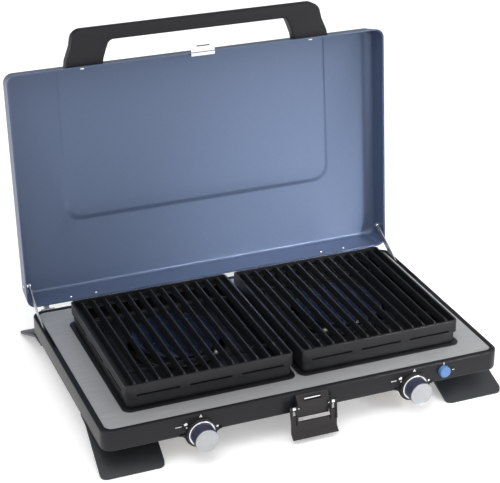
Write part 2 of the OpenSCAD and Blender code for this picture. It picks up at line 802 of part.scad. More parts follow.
// Rivets from inside the stays through the lid's side walls, with a washer under each wall
module stay_rivets() {
    play = 0.25;
    head = 1.2;
    face = stay_t / 2 + play;
    wall_out = lid_w / 2 - side_draft * stay_up - stay_x;
    color([0.8, 0.8, 0.82]) for (s = [-1, 1]) at_rivet(s) {
        rod_x(s * (wall_out + 0.6 - face) / 2, 0, 0, rivet_r, wall_out + 0.6 + face);
        rod_x(-s * (face + head / 2), 0, 0, rivet_r + 1.6, head);
        rod_x(s * (face + wall_out - lid_t - 0.6) / 2, 0, 0, rivet_r + 1.2, wall_out - lid_t - 0.6 - face);
    }
}

// Outline of a foot from above: it slants outwards to its round toes
module foot_plan(x_side, heel, toe) {
    r = foot_toe_r;
    in = foot_flare;
    out = foot_w + foot_flare;
    translate([x_side * foot_in, 0, -1]) mirror([x_side < 0 ? 1 : 0, 0, 0]) linear_extrude(case_z + 2) {
        polygon([[0, heel], [foot_w, heel], [out, toe - r], [out - r, toe], [in + r, toe], [in, toe - r]]);
        translate([in + r, toe - r]) circle(r = r);
        translate([out - r, toe - r]) circle(r = r);
    }
}

// Splayed foot: a pad under the case, a sloping plate and a rib down each side
module foot(x_side, y_side) {
    out = y_side < 0 ? foot_front_out : foot_back_out;
    toe = case_d / 2 + out;
    knee = toe - foot_run;
    x_mid = x_side * (foot_in + foot_w / 2);
    rib_xs = [foot_flare + foot_t / 2, foot_w - foot_t / 2];
    color([0.07, 0.07, 0.08]) in_place() mirror([0, y_side < 0 ? 1 : 0, 0]) {
        difference() {
            intersection() {
                foot_plan(x_side, knee - foot_pad - 1, toe);
                union() {
                    rib(x_mid, foot_w + 2 * foot_flare) polygon([
                        [knee - foot_pad, case_z], [knee - foot_pad, case_z - foot_t], [knee - 1, case_z - foot_t],
                        [toe - 4.5, 0], [toe, 0], [toe, 1.8], [knee + 1, case_z]
                    ]);
                    for (x = rib_xs) rib(x_side * (foot_in + x), foot_t) polygon([
                        [knee - foot_pad, case_z], [knee - foot_pad, case_z - foot_t], [knee - 10, case_z - 9],
                        [toe - 18, 0], [toe, 0], [knee + 1, case_z]
                    ]);
                }
            }
            for (p = foot_bolts()) translate([p[0], y_side * p[1], case_z - 6]) cylinder(r = 2.1, h = 8);
        }
    }
}

// Places of the two screws in each foot pad
function foot_bolts() = [
    for (x = [-1, 1], y = [-1, 1], k = [-1, 1])
        [x * (foot_in + foot_w / 2) + k * 20,
         y * (case_d / 2 + (y < 0 ? foot_front_out : foot_back_out) - foot_run - foot_pad / 2)]
];

module foot_screws() {
    color(steel) in_place() for (p = foot_bolts()) translate([p[0], p[1], 0]) {
        translate([0, 0, case_z - foot_t - 2]) cylinder(r = 3.8, h = 2);
        translate([0, 0, case_z - foot_t - 1]) cylinder(r = 2.1, h = foot_t + 6);
    }
}

module bottom_screws() {
    color(steel) in_place() for (s = [-1, 1], y = tab_ys())
        translate([s * (case_w / 2 - sheet - 5), y, 0]) {
            translate([0, 0, case_z - 1.6]) cylinder(r = 3.2, h = 1.6);
            translate([0, 0, case_z - 1]) cylinder(r = 1.6, h = 6);
        }
}

case_shell();
bottom_plate();
worktop_panel();
pan(-1);  // pan_left
pan(1);  // pan_right
grate(-1);  // grate_left
grate(1);  // grate_right
burner_body(-1);  // burner_body_left
burner_body(1);  // burner_body_right
burner_cap(-1);  // burner_cap_left
burner_cap(1);  // burner_cap_right
mixer(-1);  // mixer_left
mixer(1);  // mixer_right
jets();
valve(-1);  // valve_left
valve(1);  // valve_right
gas_rail();
inlet_fitting();
electrodes();
ignition_leads();
knob_grip(-1);  // knob_grip_left
knob_grip(1);  // knob_grip_right
knob_cap(-1);  // knob_cap_left
knob_cap(1);  // knob_cap_right
knob_ring(-1);  // knob_ring_left
knob_ring(1);  // knob_ring_right
stem(-1);  // stem_left
stem(1);  // stem_right
bezels();
igniter_body();
igniter_button();
latch_plate();
latch_lever();
latch_pins();
lid_shell();
lid_keeper();
handle();
handle_screws();
hinge_case_leaves();
hinge_lid_leaves();
hinge_pins();
stay(-1);  // stay_left
stay(1);  // stay_right
stay_rivets();
foot(-1, -1);  // foot_front_left
foot(1, -1);  // foot_front_right
foot(-1, 1);  // foot_back_left
foot(1, 1);  // foot_back_right
foot_screws();
bottom_screws();
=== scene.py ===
import json
import math

import bpy
from mathutils import Matrix, Vector


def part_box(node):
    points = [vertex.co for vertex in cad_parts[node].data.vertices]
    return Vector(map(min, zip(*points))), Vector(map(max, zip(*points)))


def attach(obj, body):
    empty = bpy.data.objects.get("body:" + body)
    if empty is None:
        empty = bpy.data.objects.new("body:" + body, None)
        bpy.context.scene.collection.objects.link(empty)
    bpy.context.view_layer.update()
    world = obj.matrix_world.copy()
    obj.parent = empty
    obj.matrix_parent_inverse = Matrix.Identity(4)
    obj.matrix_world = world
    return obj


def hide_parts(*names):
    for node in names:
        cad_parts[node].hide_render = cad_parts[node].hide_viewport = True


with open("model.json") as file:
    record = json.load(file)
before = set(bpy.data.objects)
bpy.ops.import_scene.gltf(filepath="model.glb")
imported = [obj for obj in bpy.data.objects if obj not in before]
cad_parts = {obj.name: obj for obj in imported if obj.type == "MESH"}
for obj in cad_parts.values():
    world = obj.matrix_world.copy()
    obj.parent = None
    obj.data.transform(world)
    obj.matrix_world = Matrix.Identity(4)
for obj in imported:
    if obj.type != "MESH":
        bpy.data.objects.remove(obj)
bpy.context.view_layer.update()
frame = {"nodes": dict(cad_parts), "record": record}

# ---------------------------------------------------------------- camera, light and floor
# The stove stands on a plain pale floor in an even, white studio: a wide soft box overhead,
# two weaker ones from the front right and a bright surround that the glossy blacks reflect.
case_low, case_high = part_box("case_shell")
case_y = (case_low.y + case_high.y) / 2


def at(x, y, z):
    """Millimetres from the case's centre and the ground, as a point in the frame."""
    return Vector((x / 1000, y / 1000 + case_y, z / 1000))


eye = at(-685.8, -1663.6, 1054.4)
look = Vector((0.3376, 0.8364, -0.4318))
bpy.ops.object.camera_add(location=eye, rotation=look.to_track_quat("-Z", "Y").to_euler())
camera = bpy.context.object
camera.name = "camera"
camera.data.lens = 110.68
camera.data.sensor_width = 36
camera.data.clip_start = 0.05
camera.data.dof.use_dof = False
bpy.context.scene.camera = camera

world = bpy.data.worlds.new("studio")
bpy.context.scene.world = world
bpy.context.scene.view_settings.view_transform = "Standard"
world.use_nodes = True
sky = world.node_tree
way = sky.nodes.new("ShaderNodeTexCoord")
split = sky.nodes.new("ShaderNodeSeparateXYZ")
back = sky.nodes.new("ShaderNodeValToRGB")
back.color_ramp.elements[0].position = 0.30
back.color_ramp.elements[0].color = (1.0, 1.0, 1.0, 1)
back.color_ramp.elements[1].position = 0.80
back.color_ramp.elements[1].color = (0.10, 0.105, 0.115, 1)
sky.links.new(way.outputs["Object"], split.inputs["Vector"])
sky.links.new(split.outputs["Y"], back.inputs["Fac"])
sky.links.new(back.outputs["Color"], sky.nodes["Background"].inputs["Color"])
sky.nodes["Background"].inputs["Strength"].default_value = 1.05


def soft_box(name, place, aim, size, power):
    bpy.ops.object.light_add(type="AREA", location=place)
    lamp = bpy.context.object
    lamp.name = name
    lamp.data.shape = "RECTANGLE"
    lamp.data.size, lamp.data.size_y = size
    lamp.data.energy = power
    lamp.rotation_euler = (aim - place).to_track_quat("-Z", "Y").to_euler()
    return lamp


soft_box("key_light", Vector((-0.5, -0.7, 1.9)), Vector((0, 0.05, 0.1)), (1.4, 1.2), 11)
soft_box("front_light", Vector((0.9, -1.7, 0.45)), Vector((0.1, 0.2, 0.2)), (0.7, 0.5), 2.0)
pool = soft_box("pool_light", Vector((0.75, -1.15, 0.75)), Vector((0.15, 0.16, 0.09)), (0.3, 0.3), 0.68)
pool.data.spread = math.radians(20)


def links(tree, *pairs):
    for out, into in pairs:
        tree.links.new(out, into)


def surface(name, color, rough, metal=0.0, grain=0.06, scale=60, stretch=(1, 1, 1), bump=0.0,
            coat=0.0, rough_spread=0.05, specular=0.5, emit=0.0):
    """A finish with slight changes of tone and gloss, and a fine relief, all from noise in object space."""
    m = bpy.data.materials.new(name)
    m.use_nodes = True
    t = m.node_tree
    shader = t.nodes["Principled BSDF"]
    place = t.nodes.new("ShaderNodeTexCoord")
    mapping = t.nodes.new("ShaderNodeMapping")
    mapping.inputs["Scale"].default_value = stretch
    noise = t.nodes.new("ShaderNodeTexNoise")
    noise.inputs["Scale"].default_value = scale
    noise.inputs["Detail"].default_value = 4
    ramp = t.nodes.new("ShaderNodeValToRGB")
    low = [max(0.0, c * (1 - grain)) for c in color]
    high = [min(1.0, c * (1 + grain)) for c in color]
    ramp.color_ramp.elements[0].position = 0.35
    ramp.color_ramp.elements[0].color = (*low, 1)
    ramp.color_ramp.elements[1].position = 0.65
    ramp.color_ramp.elements[1].color = (*high, 1)
    gloss = t.nodes.new("ShaderNodeMapRange")
    gloss.inputs["To Min"].default_value = max(0.02, rough - rough_spread)
    gloss.inputs["To Max"].default_value = min(1.0, rough + rough_spread)
    links(t, (place.outputs["Object"], mapping.inputs["Vector"]), (mapping.outputs["Vector"], noise.inputs["Vector"]),
          (noise.outputs["Fac"], ramp.inputs["Fac"]), (ramp.outputs["Color"], shader.inputs["Base Color"]),
          (noise.outputs["Fac"], gloss.inputs["Value"]), (gloss.outputs["Result"], shader.inputs["Roughness"]))
    shader.inputs["Metallic"].default_value = metal
    shader.inputs["Specular IOR Level"].default_value = specular
    shader.inputs["Coat Weight"].default_value = coat
    shader.inputs["Coat Roughness"].default_value = 0.12
    if emit:
        shader.inputs["Emission Color"].default_value = (1, 1, 1, 1)
        shader.inputs["Emission Strength"].default_value = emit
    if bump:
        fine = t.nodes.new("ShaderNodeTexNoise")
        fine.inputs["Scale"].default_value = scale * 12
        fine.inputs["Detail"].default_value = 2
        relief = t.nodes.new("ShaderNodeBump")
        relief.inputs["Strength"].default_value = bump
        relief.inputs["Distance"].default_value = 0.0004
        links(t, (mapping.outputs["Vector"], fine.inputs["Vector"]), (fine.outputs["Fac"], relief.inputs["Height"]),
              (relief.outputs["Normal"], shader.inputs["Normal"]))
    return m


bpy.ops.mesh.primitive_plane_add(size=30, location=(0, 0, -0.0006))
floor = bpy.context.object
floor.name = "floor"
bpy.ops.object.transform_apply(location=True, rotation=True, scale=True)
floor.data.materials.append(surface("floor_paper", (0.93, 0.93, 0.93), 0.75, grain=0.01, scale=3, specular=0.1, emit=0.3))

# ---------------------------------------------------------------- feet
# Four splayed feet in black moulded plastic: a pad screwed under the case and a plate that
# slopes out to the ground, with two round corners at its toe.


def wake(o):
    if bpy.context.object and bpy.context.object.mode != "OBJECT":
        bpy.ops.object.mode_set(mode="OBJECT")
    bpy.ops.object.select_all(action="DESELECT")
    o.select_set(True)
    bpy.context.view_layer.objects.active = o


def trace(name, points, face=True):
    """A mesh drawn point after point, as an outline with a face, or as an open line."""
    bpy.ops.object.select_all(action="DESELECT")
    bpy.ops.mesh.primitive_plane_add(size=0.001)
    o = bpy.context.object
    o.name = o.data.name = name
    bpy.ops.object.mode_set(mode="EDIT")
    bpy.ops.mesh.select_all(action="SELECT")
    bpy.ops.mesh.merge(type="CENTER")
    bpy.ops.transform.translate(value=points[0])
    points = [points[0]] + [b for a, b in zip(points, points[1:]) if (b - a).length > 0.000001]
    for a, b in zip(points, points[1:]):
        bpy.ops.mesh.extrude_region_move(TRANSFORM_OT_translate={"value": b - a})
    bpy.ops.mesh.select_all(action="SELECT")
    if face:
        bpy.ops.mesh.edge_face_add()
    bpy.ops.object.mode_set(mode="OBJECT")
    return o


def prism(name, points, way):
    """An outline pulled out along a vector into a closed solid."""
    o = trace(name, points)
    bpy.ops.object.mode_set(mode="EDIT")
    bpy.ops.mesh.select_all(action="SELECT")
    bpy.ops.mesh.extrude_region_move(TRANSFORM_OT_translate={"value": way})
    bpy.ops.mesh.select_all(action="SELECT")
    bpy.ops.mesh.normals_make_consistent(inside=False)
    bpy.ops.object.mode_set(mode="OBJECT")
    return o


def arc(x, y, r, start, end, n):
    """Points of an arc in mm, angles in degrees, both ends included."""
    return [(x + r * math.cos(math.radians(start + (end - start) * i / n)),
             y + r * math.sin(math.radians(start + (end - start) * i / n))) for i in range(n + 1)]


def slab(name, outline, low, high):
    """An outline in the ground plane, from one level to another, in mm."""
    return prism(name, [at(x, y, low) for x, y in outline], Vector((0, 0, (high - low) / 1000)))


def bar(name, outline, x0, x1):
    """An outline of (y, z) pairs, from one x to another, in mm."""
    return prism(name, [at(x0, y, z) for y, z in outline], Vector(((x1 - x0) / 1000, 0, 0)))


def modify(o, kind, **settings):
    wake(o)
    m = o.modifiers.new(kind.lower(), kind)
    for key, value in settings.items():
        setattr(m, key, value)
    bpy.ops.object.modifier_apply(modifier=m.name)
    return o


def soften(o, width, segments=2, angle=35):
    return modify(o, "BEVEL", width=width / 1000, segments=segments, limit_method="ANGLE",
                  angle_limit=math.radians(angle), use_clamp_overlap=True, miter_outer="MITER_ARC")


def combine(o, tool, operation="DIFFERENCE"):
    modify(o, "BOOLEAN", object=tool, operation=operation, solver="EXACT")
    bpy.data.objects.remove(tool, do_unlink=True)
    return o


def move(o, matrix):
    wake(o)
    o.matrix_world = matrix @ o.matrix_world
    bpy.ops.object.transform_apply(location=True, rotation=True, scale=True)
    return o


def outward(o):
    wake(o)
    bpy.ops.object.mode_set(mode="EDIT")
    bpy.ops.mesh.select_all(action="SELECT")
    bpy.ops.mesh.normals_make_consistent(inside=False)
    bpy.ops.object.mode_set(mode="OBJECT")
    return o


def twin(o, name, matrix, flip=False):
    """A copy with its own mesh, moved, with normals outwards again after a mirror."""
    wake(o)
    bpy.ops.object.duplicate()
    c = bpy.context.object
    c.name = c.data.name = name
    move(c, matrix)
    return outward(c) if flip else c


mirror_x = Matrix.Diagonal((-1, 1, 1, 1))


def piece(o, material, body, slot, *nodes, angle=32):
    """Finishes a piece: shading, material, the body it moves with and the CAD nodes it stands for."""
    wake(o)
    bpy.ops.object.shade_smooth_by_angle(angle=math.radians(angle))
    o.data.materials.clear()
    o.data.materials.append(material)
    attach(o, body)
    if nodes:
        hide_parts(*nodes)
    return o


slot_of = {s["node"]: s["material_slot"] for s in frame["record"]["subparts"]}


def dress(material, *slots):
    """Gives the CAD nodes of some slots their material."""
    for node, o in frame["nodes"].items():
        if slot_of[node] in slots:
            o.data.materials.clear()
            o.data.materials.append(material)


foot_plastic = surface("foot_plastic_look", (0.021, 0.024, 0.027), 0.48, grain=0.08, scale=180, bump=0.25, specular=0.4)
foot_in, foot_w, foot_flare, foot_pad, foot_run, foot_t = 187.5, 82.0, 5.5, 28.0, 77.0, 3.0
case_z = 34.0


def foot(name, toe):
    heel = toe - foot_run - foot_pad
    knee = toe - foot_run
    x0, x1 = foot_in, foot_in + foot_w
    plan = ([(x0, heel), (x1, heel)] + arc(x1 + foot_flare - 9, toe - 9, 9, 0, 90, 8)
            + arc(x0 + foot_flare + 9, toe - 9, 9, 90, 180, 8))
    o = slab(name, plan, -1, case_z + 1)
    side = [(heel, case_z), (heel, case_z - foot_t), (knee - 1, case_z - foot_t), (toe - 4.5, 0), (toe, 0),
            (toe, 1.8), (knee + 1, case_z)]
    combine(o, bar("tool", side, x0 - 5, x1 + 12), "INTERSECT")
    return soften(o, 0.9, 2, 25)


dress(foot_plastic, "foot_plastic")
for end, reach in (("front", 6.5), ("back", 60.5)):
    toe_y = 165.5 + reach
    right = foot("foot_" + end + "_right_look", toe_y)
    if end == "front":
        move(right, Matrix.Translation((0, case_y, 0)) @ Matrix.Diagonal((1, -1, 1, 1)) @ Matrix.Translation((0, -case_y, 0)))
        outward(right)
    left = twin(right, "foot_" + end + "_left_look", mirror_x, flip=True)
    piece(right, foot_plastic, "case", "foot_plastic", "foot_" + end + "_right")
    piece(left, foot_plastic, "case", "foot_plastic", "foot_" + end + "_left")

# ---------------------------------------------------------------- case
# The case is a shallow box folded from sheet steel and sprayed black: a plain wall with round
# corners, a narrow rolled rim, and a lobe in the front wall behind each knob.
case_paint = surface("case_paint_look", (0.0080, 0.0085, 0.0100), 0.38, grain=0.05, scale=120, bump=0.12, specular=0.27)
dress(case_paint, "case_paint")


def round_box(w, d, r, n=8, x=0.0, y=0.0):
    """Outline of a rounded rectangle in mm."""
    a, b = w / 2 - r, d / 2 - r
    return (arc(x + a, y + b, r, 0, 90, n) + arc(x - a, y + b, r, 90, 180, n)
            + arc(x - a, y - b, r, 180, 270, n) + arc(x + a, y - b, r, 270, 360, n))


def join(name, parts):
    bpy.ops.object.select_all(action="DESELECT")
    for p in parts:
        p.select_set(True)
    bpy.context.view_layer.objects.active = parts[0]
    if len(parts) > 1:
        bpy.ops.object.join()
    o = bpy.context.object
    o.name = o.data.name = name
    return o


rim_z, knob_x, tap_z, front = 61.0, 145.5, 35.0, -165.5
well_w, well_d = 526.0, 317.0

case = slab("case_look", round_box(540, 331, 15, 10), case_z, rim_z)
soften(case, 2.2, 4, 50)
combine(case, slab("tool", round_box(537.6, 328.6, 14, 10), case_z - 5, rim_z - 1))
combine(case, slab("tool", round_box(well_w, well_d, 10, 8), case_z, rim_z + 5))
lip = slab("lip", round_box(well_w + 1.6, well_d + 1.6, 10.8, 8), 58, rim_z - 0.3)
combine(lip, slab("tool", round_box(well_w, well_d, 10, 8), 50, 70))
lobes = []
for s in (-1, 1):
    r, f = 21.0, 8.0
    dx = math.sqrt((r + f) ** 2 - (1 + f) ** 2)
    turn = math.degrees(math.atan2(1 + f, dx))
    shape = (arc(0, 0, r, 180 + turn, 360 - turn, 24)
             + arc(dx, -1 - f, f, 180 - turn, 90, 8)
             + [(dx, 3), (-dx, 3)]
             + arc(-dx, -1 - f, f, 90, turn, 8))
    lobe = prism("lobe", [at(s * knob_x + x, front, tap_z + z) for x, z in shape], Vector((0, 0.0012, 0)))
    lobes.append(lobe)
case = join("case_look", [case, lip] + lobes)
for s in (-1, 1):
    combine(case, bar("tool", [(60, 55), (146, 55), (146, 70), (60, 70)], s * 265.35 - 1.1, s * 265.35 + 1.1))
piece(case, case_paint, "case", "case_paint", "case_shell")

# ---------------------------------------------------------------- bottom plate and screws
# A flat dark plate closes the case from below. It carries the burners and is held by small
# zinc-plated screws; the same screws hold the feet.
dress(surface("bottom_look", (0.05, 0.05, 0.055), 0.5, grain=0.1, scale=40, bump=0.1), "bottom_steel")
plated = surface("plated_look", (0.42, 0.43, 0.45), 0.34, metal=1.0, grain=0.08, scale=250, bump=0.05)
bright = surface("bright_look", (0.80, 0.81, 0.83), 0.16, metal=1.0, grain=0.03, scale=200)
dress(plated, "plated_steel")
dress(bright, "bright_steel")

# ---------------------------------------------------------------- gas line and burners
# Brass taps, rail, jets and hose tail; cast alloy burner cups on the bottom plate, each with a
# steel mixer tube, a glazed spark electrode and a silicone lead from the piezo unit.
dress(surface("brass_look", (0.60, 0.43, 0.17), 0.32, metal=1.0, grain=0.06, scale=90, bump=0.05), "brass")
dress(surface("burner_alloy_look", (0.40, 0.40, 0.42), 0.5, metal=1.0, grain=0.12, scale=120, bump=0.4), "burner_alloy")
dress(surface("ceramic_look", (0.80, 0.77, 0.70), 0.2, grain=0.03, scale=90, coat=0.5), "ceramic")
dress(surface("lead_look", (0.25, 0.03, 0.02), 0.6, grain=0.1, scale=90), "lead_silicone")

# ---------------------------------------------------------------- burner caps
# Round caps with a low dome and fine radial grooves on top,
# in a blue-black vitreous enamel.
cap_enamel = surface("cap_enamel_look", (0.008, 0.0125, 0.030), 0.36, grain=0.25, scale=50, bump=0.1, specular=0.35)


def lathe(name, profile, steps=96):
    """A line of (radius, height) pairs in mm, spun about +Z at the origin."""
    o = trace(name, [Vector((r / 1000, 0, z / 1000)) for r, z in profile], face=False)
    bpy.ops.object.mode_set(mode="EDIT")
    bpy.ops.mesh.select_all(action="SELECT")
    bpy.ops.mesh.spin(steps=steps, angle=math.tau, center=(0, 0, 0), axis=(0, 0, 1))
    bpy.ops.mesh.select_all(action="SELECT")
    bpy.ops.mesh.remove_doubles(threshold=0.000002)
    bpy.ops.mesh.normals_make_consistent(inside=False)
    bpy.ops.object.mode_set(mode="OBJECT")
    return o


cook_x, burner_y, cup_top, cap_r = 116.8, 4.0, 72.2, 59.0
cap = lathe("burner_cap_right_look", [
    (0.01, -3), (50, -3), (51.6, -4), (51.6, 0), (57.5, 0), (cap_r, 1.2), (cap_r, 4.6), (57.6, 6.6), (55, 7.6),
    (48, 8.2), (40, 7.6), (37, 7.4), (34, 7.9), (20, 8.4), (14, 8.1), (10, 8.4), (0.01, 8.6)], 144)
grooves = []
for i in range(36):
    g = prism("groove", [Vector((0.0005, 0.038, 0.0079)), Vector((-0.0005, 0.038, 0.0079)), Vector((0, 0.038, 0.0062))],
              Vector((0, 0.018, 0)))
    move(g, Matrix.Rotation(math.tau * i / 36, 4, "Z"))
    grooves.append(g)
cap = combine(cap, join("tool", grooves))
move(cap, Matrix.Translation(at(cook_x, burner_y, cup_top)))
cap_left = twin(cap, "burner_cap_left_look", mirror_x, flip=True)
piece(cap, cap_enamel, "case", "cap_enamel", "burner_cap_right", angle=28)
piece(cap_left, cap_enamel, "case", "cap_enamel", "burner_cap_left", angle=28)

# ---------------------------------------------------------------- worktop panel
# The worktop is one sheet of brushed stainless steel inside the rim, with a round hole for each
# burner; the grain runs from side to side.
panel_z = 60.2
worktop_steel = surface("worktop_steel_look", (0.43, 0.435, 0.445), 0.52, metal=0.55, grain=0.08, scale=30,
                        stretch=(1, 26, 26), bump=0.10, rough_spread=0.05)
dress(worktop_steel, "worktop_steel")
panel = slab("worktop_look", round_box(well_w - 0.6, well_d - 0.6, 9.7, 8), 59, panel_z)
for s in (-1, 1):
    combine(panel, slab("tool", arc(s * cook_x, burner_y, 65, 0, 357, 119), 50, 70))
soften(panel, 0.25, 1, 50)
piece(panel, worktop_steel, "case", "worktop_steel", "worktop_panel")

# ---------------------------------------------------------------- drip pans
# A deep-drawn tray in black enamelled steel under each grate: round bottom edge, upright wall,
# and a raised collar round the burner.
enamel = surface("enamel_look", (0.0090, 0.0096, 0.0108), 0.34, grain=0.15, scale=70, bump=0.08, specular=0.32)
dress(enamel, "enamel")
grate_y, grate_w, grate_d = -6.3, 222.0, 241.0
pan_top = 77.6


def tray(name, outline, levels, close=True):
    """An outline drawn up through levels of (width share, depth share, shift in y, z), and closed on top."""
    cx = sum(p[0] for p in outline) / len(outline)
    cy = sum(p[1] for p in outline) / len(outline)
    o = trace(name, [at(x, y, levels[0][3]) for x, y in outline])
    bpy.ops.object.mode_set(mode="EDIT")
    bpy.ops.mesh.select_all(action="SELECT")
    bpy.ops.mesh.delete(type="ONLY_FACE")
    bpy.ops.mesh.select_all(action="SELECT")
    now = levels[0]
    for level in levels[1:]:
        bpy.ops.mesh.extrude_region_move(TRANSFORM_OT_translate={
            "value": Vector((0, (level[2] - now[2]) / 1000, (level[3] - now[3]) / 1000))})
        bpy.ops.transform.resize(value=(level[0] / now[0], level[1] / now[1], 1),
                                 center_override=at(cx, cy + level[2], level[3]))
        now = level
    if close:
        bpy.ops.mesh.edge_face_add()
    bpy.ops.mesh.select_all(action="SELECT")
    bpy.ops.mesh.normals_make_consistent(inside=False)
    bpy.ops.object.mode_set(mode="OBJECT")
    return o


def level(w, d, z, w0, d0, shift=0.0):
    return (w / w0, d / d0, shift, z)


def edge(w, d, low, r, n=5):
    """Levels that round a tray's edge inwards from straight up to level."""
    out = []
    for i in range(1, n + 1):
        a = math.radians(90 * i / n)
        out.append(level(w - 2 * r * (1 - math.cos(a)), d - 2 * r * (1 - math.cos(a)), low + r * math.sin(a), w, d))
    return out


pan_w, pan_d = 218.0, 237.0
pan = tray("pan_right_look", round_box(pan_w, pan_d, 6, 6, cook_x, grate_y),
           [level(pan_w, pan_d, pan_top, pan_w, pan_d), level(pan_w, pan_d, 64.8, pan_w, pan_d)]
           + [(a, b, c, 64.8 - (z - 64.8)) for a, b, c, z in edge(pan_w, pan_d, 64.8, 4.2)])
modify(pan, "SOLIDIFY", thickness=0.0012, offset=-1)
combine(pan, slab("tool", arc(cook_x, burner_y, 63.5, 0, 357, 119), 50, 70))
collar = lathe("collar", [(63.5, 60.8), (63.5, 66.4), (64, 67), (64.8, 66.4), (64.8, 60.8), (63.5, 60.8)], 96)
move(collar, Matrix.Translation(at(cook_x, burner_y, 0)))
# A flat foot flange round each pan in the same black enamel. It is partly the pan's real foot and partly painted shade:
# it is made wide enough that the two flanges nearly meet, so a dark enamel sheet fills the shaded gap between the
# grates.
base = slab("base", round_box(pan_w + 11.6, pan_d + 11.6, 11, 8, cook_x, grate_y), panel_z, panel_z + 1.2)
combine(base, slab("tool", round_box(pan_w - 14, pan_d - 14, 5, 6, cook_x, grate_y), 50, 70))
soften(base, 0.35, 2)
pan = join("pan_right_look", [pan, collar, base])
pan_left = twin(pan, "pan_left_look", mirror_x, flip=True)
piece(pan, enamel, "pan_r", "enamel", "pan_right")
piece(pan_left, enamel, "pan_l", "enamel", "pan_left")

# ---------------------------------------------------------------- grates
# Heavy cast grates in black enamel: a skirt with three vents along its foot, a flat inner
# shoulder, and ridges from front to back that rise from two cross rails and round over at their ends.
grate_z, grate_top, ridges = 77.6, 94.6, 13
skirt = slab("skirt", round_box(grate_w, grate_d, 5.5, 6, cook_x, grate_y), grate_z, grate_top)
soften(skirt, 0.9, 3, 50)
combine(skirt, slab("tool", round_box(grate_w - 6, grate_d - 6, 3, 5, cook_x, grate_y), 70, 100))
shelf = slab("shelf", round_box(grate_w - 5, grate_d - 5, 3.5, 5, cook_x, grate_y), grate_top - 11, grate_top - 9)
combine(shelf, slab("tool", round_box(grate_w - 24, grate_d - 24, 5, 5, cook_x, grate_y), 70, 100))
soften(shelf, 0.6, 2)
grate = combine(skirt, shelf, "UNION")
for i in (-1, 0, 1):
    combine(grate, slab("slot", round_box(56, 300, 0.9, 4, cook_x + i * 69, grate_y), grate_z + 1.5, grate_z + 3.9))
    combine(grate, slab("slot", round_box(300, 56, 0.9, 4, cook_x, grate_y + i * 74), grate_z + 1.5, grate_z + 3.9))
pitch = 194.0 / (ridges - 1)
half = grate_d / 2 - 2.6
section = [(-3.0, 0), (3.0, 0), (1.5, 8.3), (0.9, 9.2), (-0.9, 9.2), (-1.5, 8.3)]
rows = []
for i in range(ridges):
    x = cook_x + (i - (ridges - 1) / 2) * pitch
    rows.append(prism("row", [at(x + a, grate_y - half, grate_top - 9.3 + b) for a, b in section],
                      Vector((0, 2 * half / 1000, 0))))
rails = []
for s in (-1, 1):
    rails.append(bar("rail", [(grate_y + s * 71 - 2.4, grate_top - 13), (grate_y + s * 71 + 2.4, grate_top - 13),
                              (grate_y + s * 71 + 1.4, grate_top - 8.6), (grate_y + s * 71 - 1.4, grate_top - 8.6)],
                     cook_x - grate_w / 2 + 3, cook_x + grate_w / 2 - 3))
comb = join("comb", rows + rails)
for s in (-1, 1):
    wedge = [(grate_y + s * (half - 9), grate_top + 3), (grate_y + s * (half - 7), grate_top - 0.2),
             (grate_y + s * (half - 4.5), grate_top - 1.2), (grate_y + s * (half - 2.5), grate_top - 2.8),
             (grate_y + s * (half + 3), grate_top - 3.8), (grate_y + s * (half + 3), grate_top + 3)]
    combine(comb, bar("tool", wedge, cook_x - 120, cook_x + 120))
grate = join("grate_right_look", [grate, comb])
grate_left = twin(grate, "grate_left_look", mirror_x, flip=True)
piece(grate, enamel, "grate_r", "enamel", "grate_right")
piece(grate_left, enamel, "grate_l", "enamel", "grate_left")

# ---------------------------------------------------------------- front markings
# Small printed signs on the case front, generic: a zero mark above each knob and the igniter,
# and a flame for low and high beside the knobs.
print_white = surface("print_look", (0.75, 0.75, 0.75), 0.5, grain=0.02, scale=100)
signs = []


def sign(points):
    signs.append(prism("sign", [at(x, front - 0.05, z) for x, z in points], Vector((0, 0.00025, 0))))


for s in (-1, 1):
    cx = s * knob_x
    sign([(cx - 2.0, 56.0), (cx - 0.6, 56.0), (cx, 57.4), (cx + 0.6, 56.0), (cx + 2.0, 56.0), (cx, 60.0)])
    sign([(cx - 21.4, 48.2), (cx - 17.8, 48.2), (cx - 17.2, 50.2), (cx - 18.6, 52.4), (cx - 20.6, 51.2), (cx - 22.2, 51.0)])
    sign(arc(cx - 18.4, 45.0, 0.9, 0, 330, 11))
    sign([(cx - 33, 47.6), (cx - 25, 47.6), (cx - 25, 48.5), (cx - 33, 48.5)])
    sign(arc(cx + 21.6, 38.6, 1.6, 0, 330, 11))
sign([(187.3, 57.0), (188.7, 57.0), (188.4, 60.2), (187.6, 60.2)])
sign([(200.6, 46.4), (203.8, 46.4), (203.8, 47.4), (200.6, 47.4)])
marks = join("front_marks", signs)
piece(marks, print_white, "case", "case_paint")

# ---------------------------------------------------------------- bezels and knobs
# Each tap has a black bezel, a chromed ring, a dark grip with fine flutes and a bright face
# with a chromed edge; all but the bezel turn with the spindle.
dress(surface("black_plastic_look", (0.02, 0.02, 0.022), 0.4, grain=0.08, scale=150, bump=0.15), "black_plastic")
knob_plastic = surface("knob_plastic_look", (0.030, 0.034, 0.065), 0.42, grain=0.08, scale=150, bump=0.1)
knob_face = surface("knob_face_look", (0.40, 0.41, 0.43), 0.32, metal=0.45, grain=0.04, scale=70, coat=0.2)
dress(knob_plastic, "knob_plastic")
dress(knob_face, "knob_face")
knob_out, knob_r, ring_y = 23.0, 15.3, -168.9
to_front = Matrix.Rotation(math.radians(90), 4, "X")


def on_axis(o, x, y, z):
    """Turns a lathed piece to face the front and sets its base on a point."""
    return move(o, Matrix.Translation(at(x, y, z)) @ to_front)


